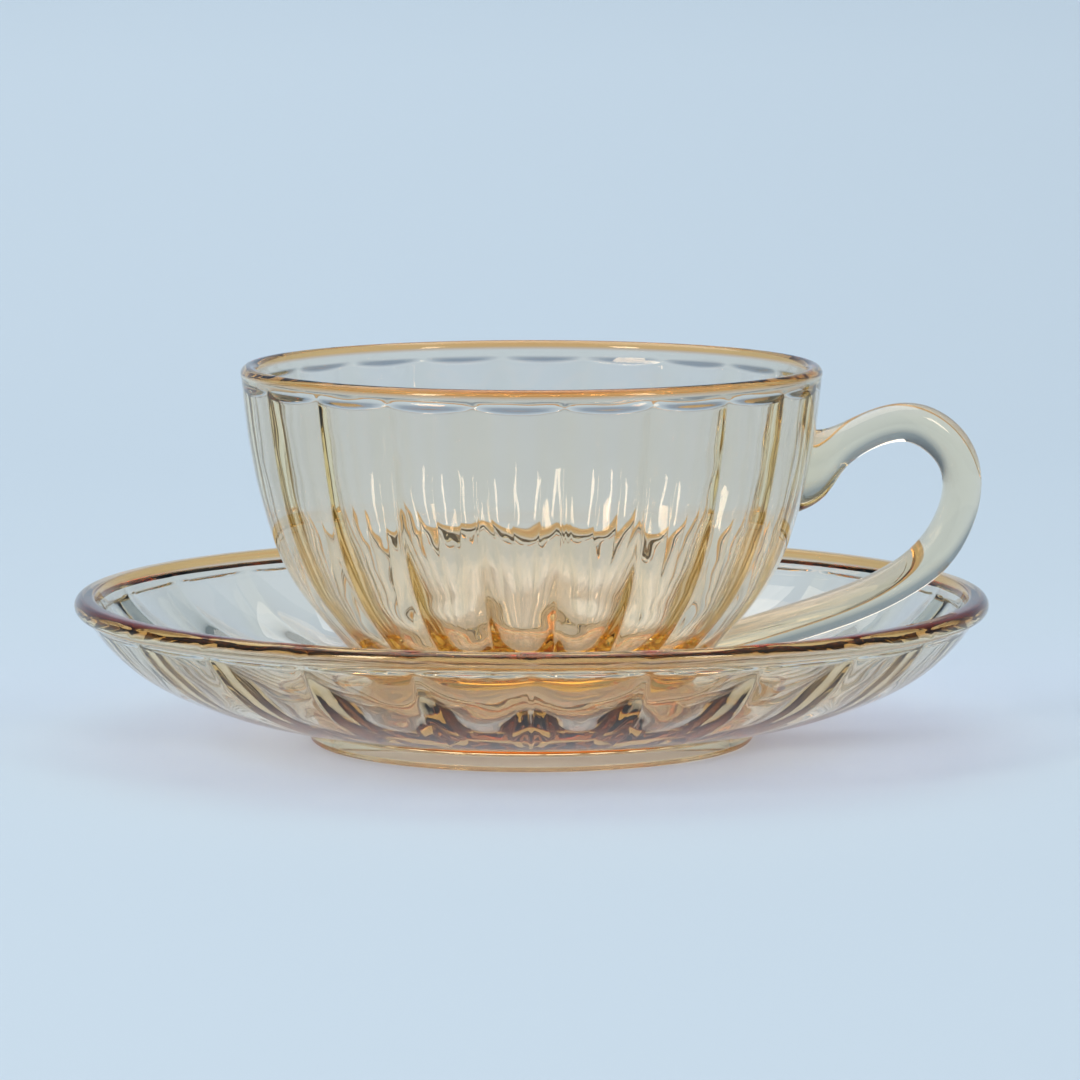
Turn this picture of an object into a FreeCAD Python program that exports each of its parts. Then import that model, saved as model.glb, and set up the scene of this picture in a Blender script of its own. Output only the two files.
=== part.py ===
"""Espresso cup and saucer in pressed amber glass.

Two pieces. The cup is one piece of glass: a bowl with twenty flutes pressed into its
inside, a fire-polished lip and a rod handle welded on. The saucer is a shallow dish with
twenty-four flutes pressed into its top and a foot ring below. The cup stands in the
saucer's flat well and only its weight holds it there.

Millimetres. The origin is the centre of the saucer's foot ring on the table, +Z is up and
+X points to the handle.
"""
import FreeCAD
import Part
import os
from math import cos, pi, radians, sin

V = FreeCAD.Vector

REACH = 200.0       # longer than any radius in the part
OVERSHOOT = 1.0     # how far a cutting solid passes the face that it opens
SAME = 0.01         # lengths this close together are equal

# ---- Saucer: heights above the table ----
SAUCER_HEIGHT = 23.0
RIM_CENTRE = (69.4, 21.5)   # centre of the rounded rim, as (radius, height)
RIM_ROUND = 1.5             # so the saucer is 141.8 across
RIM_INNER_ROUND = 0.8       # rounding of the rim's inner edge
FOOT_RADIUS = 34.5
FOOT_WIDTH = 4.0
FOOT_HEIGHT = 3.9
FOOT_ROUND = 0.7
FOOT_RECESS = 2.6           # height of the saucer's underside inside the foot ring
WELL_HEIGHT = 7.9           # the flat that the cup stands on
SAUCER_FLUTES = 24
SAUCER_TURN = -6.6          # direction of one ridge, in degrees from +X

# Meridian curves as (radius, height): the underside, the crest of the ridges between the
# flutes and the bottom of the flutes.
SAUCER_UNDERSIDE = [(34.5, 3.9), (44.5, 4.8), (54.5, 8.0), (60.4, 11.0), (67.0, 17.0), (69.2, 20.0)]
SAUCER_RIDGE = [(34.0, 7.9), (44.0, 8.9), (53.1, 11.1), (58.8, 13.6), (64.9, 18.9), (68.4, 24.0)]
SAUCER_VALLEY = [(36.8, 7.9), (45.0, 8.5), (53.6, 10.0), (59.3, 12.7), (65.7, 18.2), (69.5, 24.0)]
SAUCER_LEVELS = [7.9, 8.2, 8.6, 9.3, 10.4, 12.0, 14.4, 17.4, 20.6, 24.0]
SAUCER_SHOULDER = [(66.2, 18.9), (67.5, 23.0)]  # the rim's inner side, where flutes end

# ---- Cup: heights above its own foot ----
CUP_HEIGHT = 50.5
LIP_INNER_RADIUS = 42.4
LIP_ROUND = 1.15            # rounding of the lip's two edges
CUP_FOOT_RADIUS = 23.0
CUP_FOOT_WIDTH = 3.5
CUP_FOOT_ROUND = 0.8
CUP_RECESS = 1.0            # hollow under the cup, inside its foot
CUP_FLUTES = 20
CUP_TURN = 0.0              # one ridge is in the handle's plane

CUP_OUTSIDE = [(23.0, 0.0), (31.3, 9.7), (37.3, 17.5), (41.4, 27.9), (43.8, 39.1), (45.0, 50.5)]
CUP_RIDGE = [(18.0, 6.2), (25.4, 9.7), (33.2, 17.5), (38.5, 27.9), (41.1, 39.1), (43.0, 51.5)]
CUP_VALLEY = [(18.9, 6.2), (28.0, 9.7), (34.9, 17.5), (39.6, 27.9), (42.1, 39.1), (44.0, 51.5)]
CUP_LEVELS = [6.2, 7.2, 8.6, 10.4, 13.0, 17.0, 23.0, 30.0, 38.0, 45.0, 51.5]
CUP_SHOULDER_HEIGHT = 47.9  # the flutes end here, under the thicker lip

# ---- Handle: stations along the rod, from the upper root to the lower one ----
# radius, height above the cup's foot, direction from +X towards +Z in degrees,
# thickness in the handle's plane, thickness across it
HANDLE_STATIONS = [
    (41.2, 33.6, 4.0, 13.6, 9.0),
    (44.4, 34.7, 17.0, 11.2, 8.0),
    (46.8, 36.2, 24.0, 7.8, 7.2),
    (50.2, 38.2, 24.0, 6.0, 6.6),
    (55.2, 40.3, 13.0, 5.9, 6.4),
    (59.4, 40.7, -7.0, 6.2, 6.4),
    (63.7, 38.9, -38.0, 6.5, 6.5),
    (67.1, 34.6, -64.0, 6.3, 6.5),
    (67.75, 30.4, -92.0, 6.1, 6.4),
    (66.3, 24.8, -111.0, 6.2, 6.5),
    (63.1, 19.9, -131.0, 6.3, 6.6),
    (58.0, 16.0, -146.0, 6.0, 6.6),
    (51.6, 12.9, -157.0, 6.0, 6.8),
    (43.7, 10.2, -162.0, 6.0, 7.0),
    (35.6, 7.9, -164.0, 5.9, 7.4),
    (28.4, 6.0, -166.0, 5.4, 7.6),
    (22.0, 4.6, -168.0, 4.2, 7.0),
]


def at(point):
    """A (radius, height) pair as a point of the XZ plane."""
    return V(point[0], 0, point[1])


def smooth_curve(points):
    """Smooth curve in the XZ plane through (radius, height) points."""
    curve = Part.BSplineCurve()
    curve.interpolate([at(point) for point in points])
    return curve


def straight_run(points):
    """Straight edges in the XZ plane from each (radius, height) point to the next."""
    return [Part.makeLine(at(start), at(end)) for start, end in zip(points, points[1:])]


def turned(edges):
    """Solid of revolution about Z from the edges of a closed outline."""
    return Part.Face(Part.Wire(edges)).revolve(V(0, 0, 0), V(0, 0, 1), 360)


def radius_at(curve, height):
    """Radius of a meridian curve at a height."""
    level = Part.LineSegment(V(0, 0, height), V(REACH, 0, height))
    return curve.intersectCC(level)[0].X


def flute_ring(ridge, valley, height, count, turn):
    """Closed wire at one height: a round bulge for each flute, meeting at the ridges."""
    step = 2 * pi / count
    edges = []
    for index in range(count):
        start = radians(turn) + index * step
        points = []
        for radius, angle in ((ridge, start), (valley, start + step / 2), (ridge, start + step)):
            points.append(V(radius * cos(angle), radius * sin(angle), height))
        edges.append(Part.Arc(*points).toShape())
    return Part.Wire(edges)


def flute_core(ridge_points, valley_points, levels, count, turn):
    """The lobed plunger that presses the flutes, lofted through a ring at each level."""
    ridge = smooth_curve(ridge_points)
    valley = smooth_curve(valley_points)
    rings = []
    for height in levels:
        radii = (radius_at(ridge, height), radius_at(valley, height))
        rings.append(flute_ring(*radii, height, count, turn))
    return Part.makeLoft(rings, True)


def round_edges(solid, radius, chosen):
    """Fillet the edges of a solid for which chosen(edge) is true."""
    return solid.makeFillet(radius, [edge for edge in solid.Edges if chosen(edge)])


def is_circle(edge, radius, height):
    """Whether an edge is the full circle about Z of a radius at a height."""
    box = edge.BoundBox
    sides = ((box.ZMin, height), (box.ZMax, height), (box.XMin, -radius), (box.XMax, radius))
    return all(abs(found - wanted) < SAME for found, wanted in sides)


def saucer_blank():
    """The saucer before its flutes: foot ring, underside and rim, filled to the rim."""
    foot_inner = FOOT_RADIUS - FOOT_WIDTH
    below = straight_run([(0, FOOT_RECESS), (foot_inner, FOOT_RECESS), (foot_inner, 0),
                          (FOOT_RADIUS, 0), (FOOT_RADIUS, FOOT_HEIGHT)])
    underside = smooth_curve(SAUCER_UNDERSIDE).toShape()
    radius, height = RIM_CENTRE
    rim = Part.Arc(at(SAUCER_UNDERSIDE[-1]), at((radius + RIM_ROUND, height)),
                   at((radius, SAUCER_HEIGHT))).toShape()
    top = straight_run([(radius, SAUCER_HEIGHT), (0, SAUCER_HEIGHT), (0, FOOT_RECESS)])
    blank = turned(below + [underside, rim] + top)
    return round_edges(blank, FOOT_ROUND, lambda edge: is_circle(edge, FOOT_RADIUS, 0)
                       or is_circle(edge, foot_inner, 0))


def make_saucer():
    """The saucer: its blank, pressed out by the flute core inside the rim."""
    core = flute_core(SAUCER_RIDGE, SAUCER_VALLEY, SAUCER_LEVELS, SAUCER_FLUTES, SAUCER_TURN)
    low, high = SAUCER_SHOULDER
    slope = (high[0] - low[0]) / (high[1] - low[1])
    above = SAUCER_HEIGHT + OVERSHOOT
    throat = turned(straight_run([(0, 0), (low[0] - slope * low[1], 0),
                                  (high[0] + slope * (above - high[1]), above),
                                  (0, above), (0, 0)]))
    saucer = saucer_blank().cut(core.common(throat))
    saucer = round_edges(saucer, RIM_INNER_ROUND,
                         lambda edge: is_circle(edge, high[0], SAUCER_HEIGHT))
    return saucer.Solids[0]


def cup_blank():
    """The cup before its flutes: foot and smooth outside, filled to the rim."""
    foot_inner = CUP_FOOT_RADIUS - CUP_FOOT_WIDTH
    below = straight_run([(0, CUP_RECESS), (foot_inner - CUP_RECESS, CUP_RECESS),
                          (foot_inner, 0), (CUP_FOOT_RADIUS, 0)])
    outside = smooth_curve(CUP_OUTSIDE).toShape()
    top = straight_run([CUP_OUTSIDE[-1], (0, CUP_HEIGHT), (0, CUP_RECESS)])
    blank = turned(below + [outside] + top)
    return round_edges(blank, CUP_FOOT_ROUND, lambda edge: is_circle(edge, CUP_FOOT_RADIUS, 0))


def cup_hollow():
    """The inside of the cup: the flute core, held back at the lip by a narrower throat.

    Below the shoulder the throat widens at 45 degrees, so the flutes run out under the lip.
    """
    core = flute_core(CUP_RIDGE, CUP_VALLEY, CUP_LEVELS, CUP_FLUTES, CUP_TURN)
    widest = LIP_INNER_RADIUS + CUP_SHOULDER_HEIGHT
    above = CUP_HEIGHT + OVERSHOOT
    throat = turned(straight_run([(0, 0), (widest, 0), (LIP_INNER_RADIUS, CUP_SHOULDER_HEIGHT),
                                  (LIP_INNER_RADIUS, above), (0, above), (0, 0)]))
    return core.common(throat)


def handle_rod():
    """The handle: a loft of ovals along its stations, wide where it joins the bowl."""
    circle = Part.Wire(Part.makeCircle(0.5))
    rings = []
    for radius, height, direction, thick, across in HANDLE_STATIONS:
        angle = radians(direction)
        oval = FreeCAD.Matrix(-thick * sin(angle), 0, cos(angle), radius,
                              0, across, 0, 0,
                              thick * cos(angle), 0, sin(angle), height,
                              0, 0, 0, 1)
        rings.append(circle.transformGeometry(oval))
    return Part.makeLoft(rings, True)


def make_cup():
    """The cup: blank and handle in one, pressed out by the hollow, with a rounded lip."""
    cup = cup_blank().fuse(handle_rod()).cut(cup_hollow())
    cup = round_edges(cup, LIP_ROUND,
                      lambda edge: is_circle(edge, LIP_INNER_RADIUS, CUP_HEIGHT)
                      or is_circle(edge, CUP_OUTSIDE[-1][0], CUP_HEIGHT))
    cup.translate(V(0, 0, WELL_HEIGHT))
    return cup.Solids[0]


os.makedirs("parts", exist_ok=True)
for name, shape in (("cup", make_cup()), ("saucer", make_saucer())):
    print(name, shape.ShapeType, len(shape.Solids), shape.isValid(),
          round(shape.Volume), "mm3", shape.BoundBox)
    shape.exportStep("parts/" + name + ".step")
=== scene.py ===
from math import cos, pi, radians, sin, sqrt, tau

import bpy
import numpy as np
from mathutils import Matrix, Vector, noise


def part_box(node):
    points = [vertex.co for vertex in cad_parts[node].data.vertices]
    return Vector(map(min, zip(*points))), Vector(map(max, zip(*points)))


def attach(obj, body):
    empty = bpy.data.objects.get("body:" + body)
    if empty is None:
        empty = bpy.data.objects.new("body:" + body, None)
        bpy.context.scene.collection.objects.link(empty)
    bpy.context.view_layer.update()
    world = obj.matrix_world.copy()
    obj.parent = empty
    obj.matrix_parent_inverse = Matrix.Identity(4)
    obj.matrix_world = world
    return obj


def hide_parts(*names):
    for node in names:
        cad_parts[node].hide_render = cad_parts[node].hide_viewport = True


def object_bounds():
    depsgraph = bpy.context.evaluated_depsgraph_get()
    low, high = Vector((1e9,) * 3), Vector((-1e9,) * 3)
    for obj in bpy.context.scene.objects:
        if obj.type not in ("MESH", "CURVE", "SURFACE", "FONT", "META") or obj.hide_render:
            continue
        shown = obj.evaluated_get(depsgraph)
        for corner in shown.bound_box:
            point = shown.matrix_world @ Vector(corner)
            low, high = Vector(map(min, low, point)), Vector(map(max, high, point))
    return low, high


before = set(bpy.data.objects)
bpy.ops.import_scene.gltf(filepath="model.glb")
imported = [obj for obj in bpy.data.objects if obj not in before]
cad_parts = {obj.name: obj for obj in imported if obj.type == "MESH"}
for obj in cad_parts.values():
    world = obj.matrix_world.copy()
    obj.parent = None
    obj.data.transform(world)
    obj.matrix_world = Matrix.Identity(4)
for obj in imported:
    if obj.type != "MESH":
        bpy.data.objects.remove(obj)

# Espresso cup and saucer in pale amber pressed glass, empty.
# Metres. The origin is the centre of the saucer's foot ring on the table, +Z is up and +X
# points to the handle.
cad_low, cad_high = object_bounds()
bpy.ops.object.select_all(action="DESELECT")


# ---- Camera ----
# A long lens at table height, a little left of square to the handle's plane, so that the
# handle stands out on the right and the cup's mouth is a thin ellipse.
VIEW_TURN = -6.6
VIEW_RISE = 6.9
VIEW_DISTANCE = 0.8536
AIM_HEIGHT = 0.53 * cad_high.z
AIM_RIGHT = 0.0013
SENSOR_WIDTH = 36
FOCAL_LENGTH = 183.3

turn, rise = radians(VIEW_TURN), radians(VIEW_RISE)
backwards = Vector((sin(turn) * cos(rise), -cos(turn) * cos(rise), sin(rise)))
rightwards = Vector((cos(turn), sin(turn), 0))
camera = bpy.data.objects.new("camera", bpy.data.cameras.new("camera"))
bpy.context.collection.objects.link(camera)
camera.data.sensor_width = SENSOR_WIDTH
camera.data.lens = FOCAL_LENGTH
camera.location = Vector((0, 0, AIM_HEIGHT)) + AIM_RIGHT * rightwards + VIEW_DISTANCE * backwards
camera.rotation_euler = (-backwards).to_track_quat("-Z", "Y").to_euler()
bpy.context.scene.camera = camera


# ---- Table, backdrop and light ----
# A plain pale table that runs back and curves up into a backdrop of the same paper, with
# painted shade that darkens it as it rises, and clear from behind. A broad lamp over the
# table, and a softbox at the left and a weaker one at the right.
TABLE_WIDTH = 5.0
TABLE_FRONT = -1.6
TABLE_BACK = 1.1
BACKDROP_HEIGHT = 1.9
BACKDROP_CURVE = 0.7
CURVE_STEPS = 24
TABLE_GAP = 0.0001      # the foot ring stands this far above the paper
TABLE_COLOUR = (0.58, 0.685, 0.765, 1)
# painted shade: the darker tone the paper is painted with as it rises
PAINTED_SHADE_COLOUR = (0.26, 0.36, 0.48, 1)
SHADE_FROM, SHADE_TO = 0.08, 0.40       # heights where the painted shade starts and is full
PAPER_ROUGHNESS = 0.75
ROOM_LOW_COLOUR, ROOM_LOW = (0.10, 0.14, 0.22, 1), 0.05
ROOM_HIGH_COLOUR, ROOM_HIGH = (0.90, 0.95, 1.0, 1), 0.75
ROOM_STRENGTH = 0.65
GLASS_BOUNCES = 16      # light stays long in a glass rim, so it needs many
SHADOW_LAYERS = 12
TABLE_BOUNCES = 2

bpy.ops.mesh.primitive_plane_add(size=1)
table = bpy.context.object
table.name = table.data.name = "table"
bpy.ops.object.mode_set(mode="EDIT")
bpy.ops.transform.resize(value=(TABLE_WIDTH, TABLE_BACK - TABLE_FRONT, 1))
bpy.ops.transform.translate(value=(0, (TABLE_BACK + TABLE_FRONT) / 2, -TABLE_GAP))
bpy.ops.mesh.select_all(action="DESELECT")
bpy.ops.object.mode_set(mode="OBJECT")
for edge in table.data.edges:
    edge.select = all(table.data.vertices[i].co.y > 0 for i in edge.vertices)
bpy.ops.object.mode_set(mode="EDIT")
bpy.ops.mesh.select_mode(type="EDGE")
bpy.ops.mesh.extrude_edges_move(TRANSFORM_OT_translate={"value": (0, 0, BACKDROP_HEIGHT)})
bpy.ops.object.mode_set(mode="OBJECT")
for edge in table.data.edges:
    edge.select = all(v.co.y > 0 and v.co.z < BACKDROP_HEIGHT / 2
                      for v in (table.data.vertices[i] for i in edge.vertices))
bpy.ops.object.mode_set(mode="EDIT")
bpy.ops.mesh.bevel(offset=BACKDROP_CURVE, segments=CURVE_STEPS)
bpy.ops.object.mode_set(mode="OBJECT")
bpy.ops.object.shade_smooth()

paper = bpy.data.materials.new("table_paper")
paper.use_nodes = True
nodes, links = paper.node_tree.nodes, paper.node_tree.links
surface = nodes["Principled BSDF"]
surface.inputs["Roughness"].default_value = PAPER_ROUGHNESS
# the paper's colour, with painted shade that darkens it with height
where, split, painted_shade_ramp = (nodes.new("ShaderNode" + kind) for kind in
                       ("TexCoord", "SeparateXYZ", "ValToRGB"))
links.new(where.outputs["Object"], split.inputs["Vector"])
links.new(split.outputs["Z"], painted_shade_ramp.inputs["Fac"])
low_end, high_end = painted_shade_ramp.color_ramp.elements
low_end.position, low_end.color = SHADE_FROM, TABLE_COLOUR
high_end.position, high_end.color = SHADE_TO, PAINTED_SHADE_COLOUR
links.new(painted_shade_ramp.outputs["Color"], surface.inputs["Base Color"])
side, clear, choice = (nodes.new("ShaderNode" + kind) for kind in
                       ("NewGeometry", "BsdfTransparent", "MixShader"))
links.new(side.outputs["Backfacing"], choice.inputs["Fac"])
links.new(surface.outputs["BSDF"], choice.inputs[1])
links.new(clear.outputs["BSDF"], choice.inputs[2])
links.new(choice.outputs["Shader"], nodes["Material Output"].inputs["Surface"])
table.data.materials.append(paper)


def softbox(name, place, size, power):
    """A soft lamp at a place, turned to the cup."""
    lamp = bpy.data.objects.new(name, bpy.data.lights.new(name, "AREA"))
    bpy.context.collection.objects.link(lamp)
    lamp.location = place
    lamp.rotation_euler = (Vector((0, 0, 0.03)) - Vector(place)).to_track_quat("-Z", "Y").to_euler()
    lamp.data.shape = "RECTANGLE"
    lamp.data.size, lamp.data.size_y = size
    lamp.data.energy = power


softbox("lamp_over", (-0.1, 0.45, 1.25), (1.2, 1.2), 8.5)
softbox("lamp_left", (-0.9, -0.7, 0.8), (0.25, 0.4), 4.5)
softbox("lamp_right", (0.8, -0.9, 0.85), (0.2, 0.5), 3)

room = bpy.data.worlds.new("room")
bpy.context.scene.world = room
room.use_nodes = True
nodes, links = room.node_tree.nodes, room.node_tree.links
direction, up, sky = (nodes.new("ShaderNode" + kind) for kind in
                      ("TexCoord", "SeparateXYZ", "ValToRGB"))
links.new(direction.outputs["Generated"], up.inputs["Vector"])
links.new(up.outputs["Z"], sky.inputs["Fac"])
low_end, high_end = sky.color_ramp.elements
low_end.position, low_end.color = ROOM_LOW, ROOM_LOW_COLOUR
high_end.position, high_end.color = ROOM_HIGH, ROOM_HIGH_COLOUR
links.new(sky.outputs["Color"], nodes["Background"].inputs["Color"])
nodes["Background"].inputs["Strength"].default_value = ROOM_STRENGTH

cycles = bpy.context.scene.cycles
cycles.max_bounces = cycles.glossy_bounces = cycles.transmission_bounces = GLASS_BOUNCES
cycles.transparent_max_bounces = SHADOW_LAYERS
cycles.diffuse_bounces = TABLE_BOUNCES
cycles.caustics_reflective = False


# ---- Saucer ----
# A shallow dish of pressed amber glass: smooth below, with a foot ring, and twenty-four
# flutes pressed into its top between a flat well and a plain rounded rim.
SAUCER_FLUTES = 24
SAUCER_TURN = -6.6          # direction of one ridge, in degrees from +X
SAUCER_COLUMNS = 14         # mesh columns to a flute
SAUCER_RIM = (0.06937, 0.0215)
SAUCER_RIM_ROUND = 0.0015
SAUCER_SHOULDER = (0.0663, 0.0202)  # the rim's inner side runs down to here, and flutes end
SAUCER_SHOULDER_SLOPE = 0.57
SAUCER_RECESS = 0.0026      # height of the base within the foot ring
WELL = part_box("cup")[0].z   # the cup stands at this height
CREST_ROUND = 0.00025       # how far the crest of a ridge is rounded off
SAUCER_RIPPLE = 0.0001      # unevenness of the pressed side
RIPPLE_SIZE = 0.0045
SMOOTH_ANGLE = radians(40)  # edges sharper than this stay sharp

SAUCER_UNDERSIDE = [(0.0345, 0.0039), (0.0445, 0.0048), (0.0545, 0.0080), (0.0604, 0.0110),
                    (0.0670, 0.0170), (0.0692, 0.0200)]
SAUCER_RIDGE = [(0.0340, 0.0079), (0.0440, 0.0089), (0.0531, 0.0111), (0.0588, 0.0136),
                (0.0652, 0.0189), (0.0687, 0.0240)]
SAUCER_VALLEY = [(0.0368, 0.0079), (0.0450, 0.0085), (0.0536, 0.0100), (0.0593, 0.0127),
                 (0.0657, 0.0182), (0.0695, 0.0240)]


def smooth_curve(points, count=240):
    """Points along the smooth curve that runs through a few (radius, height, ...) points."""
    knots = np.array(points)
    spans = np.hypot(*np.diff(knots[:, :2], axis=0).T)
    reach = np.concatenate(([0], np.cumsum(spans)))
    system, pull = np.eye(len(knots)), np.zeros(knots.shape)
    for i in range(1, len(knots) - 1):
        system[i, i - 1:i + 2] = spans[i - 1], 2 * (spans[i - 1] + spans[i]), spans[i]
        pull[i] = 6 * ((knots[i + 1] - knots[i]) / spans[i]
                       - (knots[i] - knots[i - 1]) / spans[i - 1])
    bend = np.linalg.solve(system, pull)
    curve = []
    for place in np.linspace(0, reach[-1], count):
        i = min(np.searchsorted(reach, place, side="right"), len(knots) - 1) - 1
        before, after, span = place - reach[i], reach[i + 1] - place, spans[i]
        curve.append((bend[i] * after ** 3 + bend[i + 1] * before ** 3) / (6 * span)
                     + (knots[i] / span - bend[i] * span / 6) * after
                     + (knots[i + 1] / span - bend[i + 1] * span / 6) * before)
    return np.array(curve)


def arc(centre, size, start, end, steps):
    """Points on a round corner, from one direction in degrees to another."""
    angles = np.radians(np.linspace(start, end, steps))
    return [(centre[0] + size * cos(a), centre[1] + size * sin(a)) for a in angles]


def plain(points):
    """Levels of a form that is round all the way: radius at the ridges, in the flutes, height."""
    return [(radius, radius, height, 1.0) for radius, height in points]


def flute_radius(ridge, valley, offset, half):
    """Radius at an angle off a flute's middle; the flute is an arc from ridge to ridge."""
    if valley - ridge < 1e-6:
        return valley
    offset = half - sqrt((half - abs(offset)) ** 2 + (CREST_ROUND / ridge) ** 2)
    sag = valley - ridge * cos(half)
    bulge = ((ridge * sin(half)) ** 2 + sag ** 2) / (2 * sag)
    centre = valley - bulge
    return centre * cos(offset) + sqrt(bulge ** 2 - (centre * sin(offset)) ** 2)


def soft_least(a, b, blend=0.0004):
    """The lesser of two radii, with the crease between them rounded."""
    near = max(blend - abs(a - b), 0) / blend
    return min(a, b) - near * near * blend / 4


def close_seams(gap):
    """Merge the points of the active form that lie together, and turn its faces outwards."""
    bpy.ops.object.mode_set(mode="EDIT")
    bpy.ops.mesh.select_all(action="SELECT")
    bpy.ops.mesh.remove_doubles(threshold=gap)
    bpy.ops.mesh.normals_make_consistent(inside=False)
    bpy.ops.object.mode_set(mode="OBJECT")


def roll_up(name, levels, flutes, columns, first, ripple):
    """A flat grid rolled up round Z, a row for each level, and closed at its seam and poles.

    A level is (radius at the ridges, radius in the flutes, height, most that the radius may be).
    The fluted levels are uneven by the ripple, which is given for any height.
    """
    bpy.ops.object.select_all(action="DESELECT")
    around = flutes * columns
    bpy.ops.mesh.primitive_grid_add(x_subdivisions=around, y_subdivisions=len(levels) - 1, size=2)
    form = bpy.context.object
    form.name = form.data.name = name
    half = pi / flutes
    for index, vertex in enumerate(form.data.vertices):
        row, column = divmod(index, around + 1)
        ridge, valley, height, most = levels[row]
        part = (column % columns) / columns
        part -= 0.5 + 0.09 * sin(tau * part)     # columns crowd towards the ridges
        radius = soft_least(flute_radius(ridge, valley, 2 * half * part, half), most)
        angle = radians(first) + 2 * half * (column // columns + 0.5 + part)
        place = Vector((radius * cos(angle), radius * sin(angle), height))
        if valley > ridge:
            place.xy *= 1 + ripple(height) * noise.noise(place / RIPPLE_SIZE) / radius
        vertex.co = place
    close_seams(2e-6)
    return form


def fluted_levels(ridge_points, valley_points, heights, limit):
    """Levels of a fluted stretch: the two meridian curves at each height, and the limit there."""
    ridge, valley = smooth_curve(ridge_points), smooth_curve(valley_points)
    return [(np.interp(h, ridge[:, 1], ridge[:, 0]), np.interp(h, valley[:, 1], valley[:, 0]),
             h, limit(h)) for h in heights]


def even_heights(points, count):
    """Heights that divide a meridian curve into equal steps, from its top down."""
    curve = smooth_curve(points)
    reach = np.concatenate(([0], np.cumsum(np.hypot(*np.diff(curve, axis=0).T))))
    return np.interp(np.linspace(reach[-1], 0, count), reach, curve[:, 1])


underside = [tuple(p) for p in smooth_curve(SAUCER_UNDERSIDE, 50)]
outline = [(radius, SAUCER_RECESS) for radius in (0, 0.010, 0.020, 0.027, 0.0299)]
outline += arc((0.0299, SAUCER_RECESS - 0.0006), 0.0006, 90, 0, 5)
outline += arc((0.0312, 0.0007), 0.0007, 180, 270, 6)
outline += arc((0.0338, 0.0007), 0.0007, 270, 360, 6)
outline += arc((0.0353, 0.0031), 0.0008, 180, 90, 5)
outline += [p for p in underside if p[0] > 0.0360]
outline += arc(SAUCER_RIM, SAUCER_RIM_ROUND, -60, 90, 14)
outline += arc((0.0683, 0.0222), 0.0008, 90, 165, 7)


def saucer_limit(height):
    """Most that the inside's radius may be: the rim's inner side, undercut by the flutes."""
    above = height - SAUCER_SHOULDER[1]
    return SAUCER_SHOULDER[0] + (SAUCER_SHOULDER_SLOPE * above if above > 0 else -above)


heights = [h for h in even_heights(SAUCER_VALLEY, 130) if h < 0.0218]
levels = plain(outline)
levels += fluted_levels(SAUCER_RIDGE, SAUCER_VALLEY, heights[:-1], saucer_limit)
levels += plain([(radius, WELL) for radius in (0.0335, 0.031, 0.026, 0.018, 0.009, 0)])
saucer = roll_up("saucer_glass_form", levels, SAUCER_FLUTES, SAUCER_COLUMNS, SAUCER_TURN,
                 lambda height: SAUCER_RIPPLE)


# The glass: the absorption of its body, the tint of its faces, and a painted glow at its rims.
GLASS_TINT = (0.94, 0.75, 0.20)
GLASS_DENSITY = 65
GLASS_IOR = 1.52
FACE_TINT = (0.975, 0.925, 0.89, 1)
GLOSS_TINT = (1.0, 0.85, 0.65, 1)
# painted rim glow: the orange that light takes on when piped along a rim, painted into the base
# colour
PAINTED_RIM_GLOW = (0.93, 0.40, 0.09, 1)
RIM_GLOW_FADE = 0.0008
SHADOW_TINT = (0.76, 0.75, 0.90, 1)     # what a face lets through of a lamp's light
# the saucer's painted rim glow starts at this height
SAUCER_RIM_GLOW_LEVEL = 0.0212


def rim_glow_group():
    """Shader group: the faint tint of the faces, and the painted rim glow above a level."""
    group = bpy.data.node_groups.new("painted_rim_glow", "ShaderNodeTree")
    face = group.interface
    face.new_socket("Level", in_out="INPUT", socket_type="NodeSocketFloat")
    face.new_socket("Fade", in_out="INPUT", socket_type="NodeSocketFloat")
    face.new_socket("Painted_Glow", in_out="INPUT", socket_type="NodeSocketColor")
    face.new_socket("Color", in_out="OUTPUT", socket_type="NodeSocketColor")
    nodes, links = group.nodes, group.links
    given, made = nodes.new("NodeGroupInput"), nodes.new("NodeGroupOutput")
    where, split = nodes.new("ShaderNodeTexCoord"), nodes.new("ShaderNodeSeparateXYZ")
    links.new(where.outputs["Object"], split.inputs["Vector"])
    top = nodes.new("ShaderNodeMath")
    top.operation = "ADD"
    links.new(given.outputs["Level"], top.inputs[0])
    links.new(given.outputs["Fade"], top.inputs[1])
    amount = nodes.new("ShaderNodeMapRange")
    amount.interpolation_type = "SMOOTHSTEP"
    links.new(split.outputs["Z"], amount.inputs["Value"])
    links.new(given.outputs["Level"], amount.inputs["From Min"])
    links.new(top.outputs["Value"], amount.inputs["From Max"])
    # the painted rim glow is mixed over the face tint above the level
    blend = nodes.new("ShaderNodeMix")
    blend.data_type = "RGBA"
    blend.inputs["A"].default_value = FACE_TINT
    links.new(amount.outputs["Result"], blend.inputs["Factor"])
    links.new(given.outputs["Painted_Glow"], blend.inputs["B"])
    links.new(blend.outputs["Result"], made.inputs["Color"])
    return group


painted_rim_glow = rim_glow_group()


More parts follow.
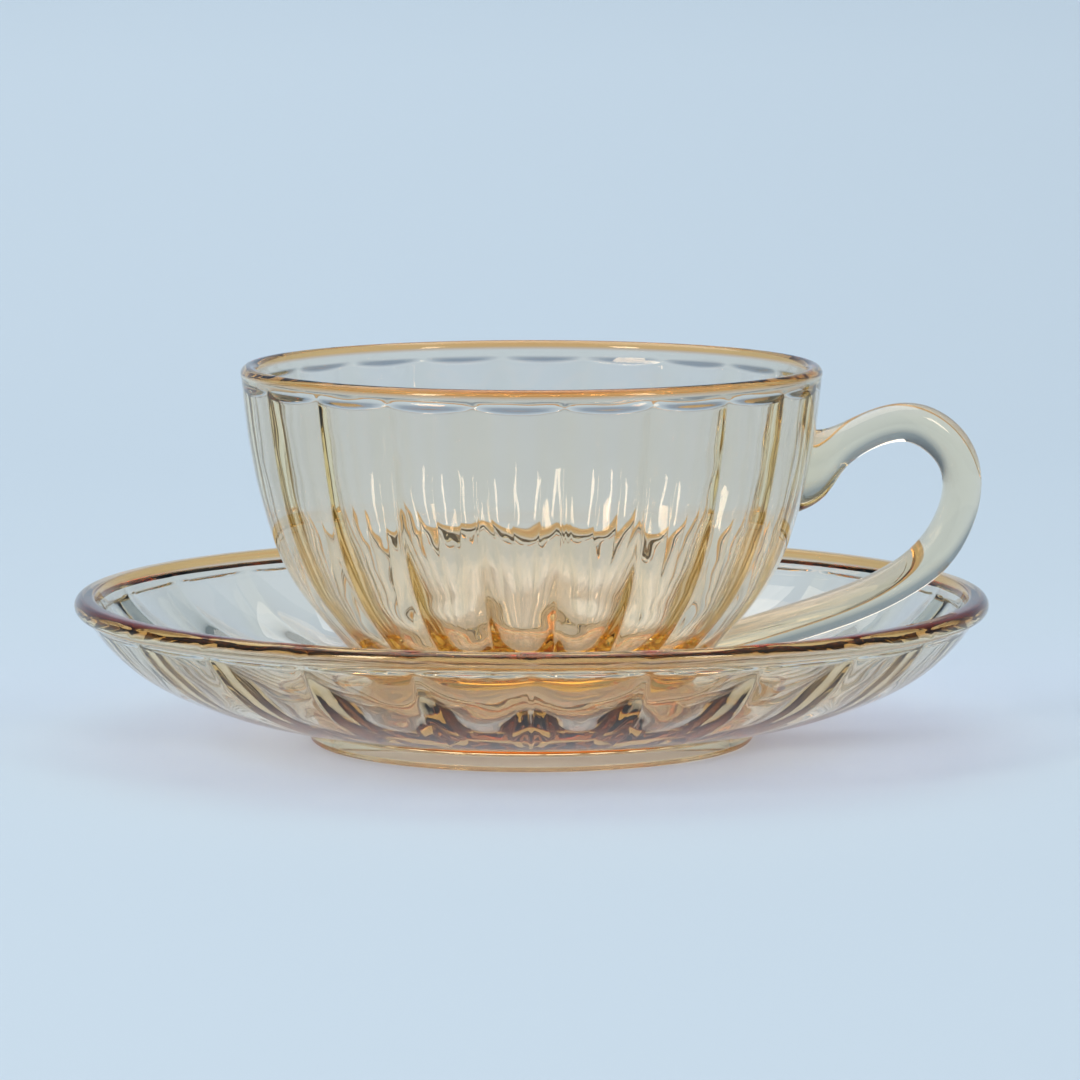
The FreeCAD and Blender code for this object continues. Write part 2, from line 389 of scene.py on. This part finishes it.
def amber_glass(name, rim_level):
    """Clear glass that takes its amber colour from its own thickness, with painted rim glow."""
    material = bpy.data.materials.new(name)
    material.use_nodes = True
    nodes, links = material.node_tree.nodes, material.node_tree.links
    shader = nodes["Principled BSDF"]
    # painted glow at the rim, mixed into the base colour
    rim = nodes.new("ShaderNodeGroup")
    rim.node_tree = painted_rim_glow
    rim.inputs["Level"].default_value = rim_level
    rim.inputs["Fade"].default_value = RIM_GLOW_FADE
    rim.inputs["Painted_Glow"].default_value = PAINTED_RIM_GLOW
    links.new(rim.outputs["Color"], shader.inputs["Base Color"])
    shader.inputs["Roughness"].default_value = 0.0
    shader.inputs["IOR"].default_value = GLASS_IOR
    shader.inputs["Specular Tint"].default_value = GLOSS_TINT
    shader.inputs["Transmission Weight"].default_value = 1.0
    body = nodes.new("ShaderNodeVolumeAbsorption")
    body.inputs["Color"].default_value = (*GLASS_TINT, 1)
    body.inputs["Density"].default_value = GLASS_DENSITY
    links.new(body.outputs["Volume"], nodes["Material Output"].inputs["Volume"])
    path, passing, mix = (nodes.new("ShaderNode" + kind) for kind in
                          ("LightPath", "BsdfTransparent", "MixShader"))
    passing.inputs["Color"].default_value = SHADOW_TINT
    links.new(path.outputs["Is Shadow Ray"], mix.inputs["Fac"])
    links.new(shader.outputs["BSDF"], mix.inputs[1])
    links.new(passing.outputs["BSDF"], mix.inputs[2])
    links.new(mix.outputs["Shader"], nodes["Material Output"].inputs["Surface"])
    return material


saucer.data.materials.append(amber_glass("amber_glass_saucer", SAUCER_RIM_GLOW_LEVEL))
bpy.ops.object.shade_smooth_by_angle(angle=SMOOTH_ANGLE)
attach(saucer, "root")
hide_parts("saucer")


# ---- Cup ----
# One piece of pressed amber glass: a bowl, smooth outside, with twenty flutes pressed into
# its inside, a fire-polished lip and a thick base. The rod handle is welded to it hot.
CUP_FLUTES = 20
CUP_COLUMNS = 14
CUP_LIP = (0.0437, 0.0492)
CUP_LIP_ROUND = 0.0013
CUP_SHOULDER = 0.0479
CUP_RECESS = 0.0010     # height of the base within the foot
CUP_FLOOR = 0.0060
# the cup's painted rim glow starts at this height
CUP_RIM_GLOW_LEVEL = 0.0489
CUP_GAP = 0.00003       # the foot stands this far above the well
CUP_RIPPLE_HEIGHTS = (0.0062, 0.0085, 0.0120, 0.0200)
CUP_RIPPLES = (0, 0.0004, 0.0003, 0.00009)      # most uneven where the flutes end

CUP_OUTSIDE = [(0.0230, 0.0000), (0.0313, 0.0097), (0.0373, 0.0175), (0.0414, 0.0279),
               (0.0438, 0.0391), (0.0450, 0.0505)]
CUP_RIDGE = [(0.0180, 0.0062), (0.0254, 0.0097), (0.0332, 0.0175), (0.0385, 0.0279),
             (0.0411, 0.0391), (0.0430, 0.0515)]
CUP_VALLEY = [(0.0189, 0.0062), (0.0280, 0.0097), (0.0349, 0.0175), (0.0396, 0.0279),
              (0.0421, 0.0391), (0.0440, 0.0515)]

outside = [tuple(p) for p in smooth_curve(CUP_OUTSIDE, 90)]
outline = [(radius, CUP_RECESS) for radius in (0, 0.006, 0.012, 0.0165)]
outline += [(0.0180, 0.0009), (0.0190, 0.0004), (0.0196, CUP_GAP), (0.0210, CUP_GAP)]
outline += arc((0.0224, 0.0008), 0.0008 - CUP_GAP, 270, 320, 6)
outline += [p for p in outside if CUP_RECESS < p[1] < CUP_LIP[1] - 0.0002]
outline += arc(CUP_LIP, CUP_LIP_ROUND, 0, 180, 18)
lip_inside = CUP_LIP[0] - CUP_LIP_ROUND
outline += [(lip_inside, h) for h in (0.0489, 0.0486)]
heights = [h for h in even_heights(CUP_VALLEY, 150) if h < 0.0483]
levels = plain(outline)
levels += fluted_levels(CUP_RIDGE, CUP_VALLEY, heights[:-1],
                        lambda h: lip_inside + max(CUP_SHOULDER - h, 0))
levels += plain([(0.0176, CUP_FLOOR + 0.0001)])
levels += plain([(radius, CUP_FLOOR) for radius in (0.0165, 0.0140, 0.0100, 0.0050, 0)])
levels = [(ridge, valley, height + WELL, most) for ridge, valley, height, most in levels]
cup = roll_up("cup_glass_form", levels, CUP_FLUTES, CUP_COLUMNS, 0,
              lambda height: np.interp(height - WELL, CUP_RIPPLE_HEIGHTS, CUP_RIPPLES))

# Stations along the handle, from the upper root to the lower one: radius, height over the
# cup's foot, direction in degrees from +X towards +Z, thickness in its plane and across it.
HANDLE_STATIONS = [
    (0.0412, 0.0336, 4.0, 0.0136, 0.0090), (0.0444, 0.0347, 17.0, 0.0112, 0.0080),
    (0.0468, 0.0362, 24.0, 0.0078, 0.0072), (0.0502, 0.0382, 24.0, 0.0060, 0.0066),
    (0.0552, 0.0403, 13.0, 0.0059, 0.0064), (0.0594, 0.0407, -7.0, 0.0062, 0.0064),
    (0.0637, 0.0389, -38.0, 0.0065, 0.0065), (0.0671, 0.0346, -64.0, 0.0063, 0.0065),
    (0.06775, 0.0304, -92.0, 0.0061, 0.0064), (0.0663, 0.0248, -111.0, 0.0062, 0.0065),
    (0.0631, 0.0199, -131.0, 0.0063, 0.0066), (0.0580, 0.0160, -146.0, 0.0060, 0.0066),
    (0.0516, 0.0129, -157.0, 0.0060, 0.0068), (0.0437, 0.0102, -162.0, 0.0060, 0.0070),
    (0.0356, 0.0079, -164.0, 0.0059, 0.0074), (0.0284, 0.0060, -166.0, 0.0054, 0.0076),
    (0.0220, 0.0046, -168.0, 0.0042, 0.0070),
]
ROD_SIDES = 32
ROD_LENGTHS = 110

stations = smooth_curve(HANDLE_STATIONS, ROD_LENGTHS)
stations = np.concatenate((stations[:1], stations, stations[-1:]))
stations[[0, -1], 3:] = 0       # both ends close to a point
bpy.ops.object.select_all(action="DESELECT")
bpy.ops.mesh.primitive_grid_add(x_subdivisions=ROD_SIDES, y_subdivisions=len(stations) - 1, size=2)
rod = bpy.context.object
for index, vertex in enumerate(rod.data.vertices):
    row, side = divmod(index, ROD_SIDES + 1)
    radius, height, direction, thick, across = stations[row]
    angle, lean = tau * side / ROD_SIDES, radians(direction)
    out = thick / 2 * cos(angle)
    vertex.co = radius - out * sin(lean), across / 2 * sin(angle), height + WELL + out * cos(lean)
close_seams(1e-6)

bpy.ops.object.select_all(action="DESELECT")
bpy.context.view_layer.objects.active = cup
cup.select_set(True)
weld = cup.modifiers.new("weld", "BOOLEAN")
weld.operation = "UNION"
weld.solver = "EXACT"
weld.object = rod
bpy.ops.object.modifier_apply(modifier="weld")
bpy.data.objects.remove(rod)

cup.data.materials.clear()
cup.data.materials.append(amber_glass("amber_glass_cup", WELL + CUP_RIM_GLOW_LEVEL))
bpy.ops.object.shade_smooth_by_angle(angle=SMOOTH_ANGLE)
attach(cup, "root")
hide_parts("cup")

bpy.context.scene.view_settings.view_transform = "Standard"
